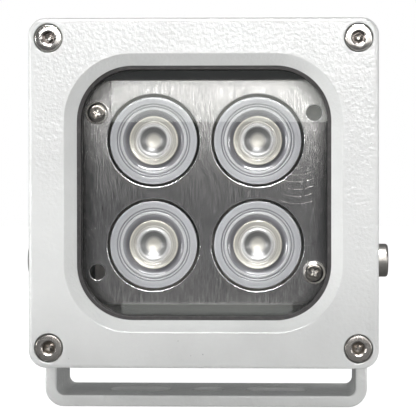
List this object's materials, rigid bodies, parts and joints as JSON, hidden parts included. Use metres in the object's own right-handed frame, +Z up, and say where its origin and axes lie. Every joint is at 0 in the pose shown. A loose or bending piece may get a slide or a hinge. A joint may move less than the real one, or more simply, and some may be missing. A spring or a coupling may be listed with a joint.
{
  "type": "white light illuminator",
  "caption": "Square white light illuminator: lensed LEDs behind a glass pane in a finned metal housing that tilts on a folded bracket with a slotted base.",
  "frame": {"origin": "centre of the bracket base's underside, on the middle of the slot pattern", "axes": "+Z up from the base to the head, the light faces -Y, +X along the tilt axis"},
  "size_m": [0.0976, 0.0619, 0.1017],
  "materials": {
    "white_paint": "glossy powder coat",
    "black_rubber": "moulded",
    "clear_glass": "polished",
    "brushed_plate": "vertical brushed grain",
    "stainless_steel": "turned",
    "nylon": "moulded",
    "dark_board": "black solder mask",
    "bare_aluminium": "milled",
    "plated_brass": "plated",
    "green_board": "green solder mask",
    "ferrite": "pressed ferrite",
    "black_plastic": "moulded",
    "terminal_plastic": "moulded",
    "clear_lens": "moulded clear",
    "led_package": "phosphor under a dome"
  },
  "bodies": {
    "bracket": {"bracket": "white_paint"},
    "head": {"carrier_plate": "bare_aluminium", "carrier_screws": "stainless_steel", "cover_screws": "stainless_steel", "cover_seal": "black_rubber", "driver_board": "green_board", "driver_capacitors": "bare_aluminium", "driver_chip": "black_plastic", "driver_coil": "ferrite", "driver_screws": "stainless_steel", "front_bezel": "white_paint", "gland_body": "black_plastic", "gland_nut": "black_plastic", "gland_ring": "black_rubber", "gland_seal": "black_rubber", "glass_gasket": "black_rubber", "glass_pane": "clear_glass", "input_terminal": "terminal_plastic", "led_1": "led_package", "led_2": "led_package", "led_3": "led_package", "led_4": "led_package", "led_board": "dark_board", "lens_1": "clear_lens", "lens_2": "clear_lens", "lens_3": "clear_lens", "lens_4": "clear_lens", "lens_holder_1": "black_plastic", "lens_holder_2": "black_plastic", "lens_holder_3": "black_plastic", "lens_holder_4": "black_plastic", "link_pins": "plated_brass", "mask_plate": "brushed_plate", "mask_screws": "stainless_steel", "mask_spacers": "stainless_steel", "pivot_bolts": "stainless_steel", "pivot_spring_washers": "stainless_steel", "pivot_washers": "nylon", "rear_housing": "white_paint"}
  },
  "joints": [
    {"name": "head_tilt", "type": "hinge", "parent": "bracket", "child": "head", "pos_m": [0, 0, 0.0382], "axis": [1, 0, 0], "range_deg": [-75, 5]}
  ]
}
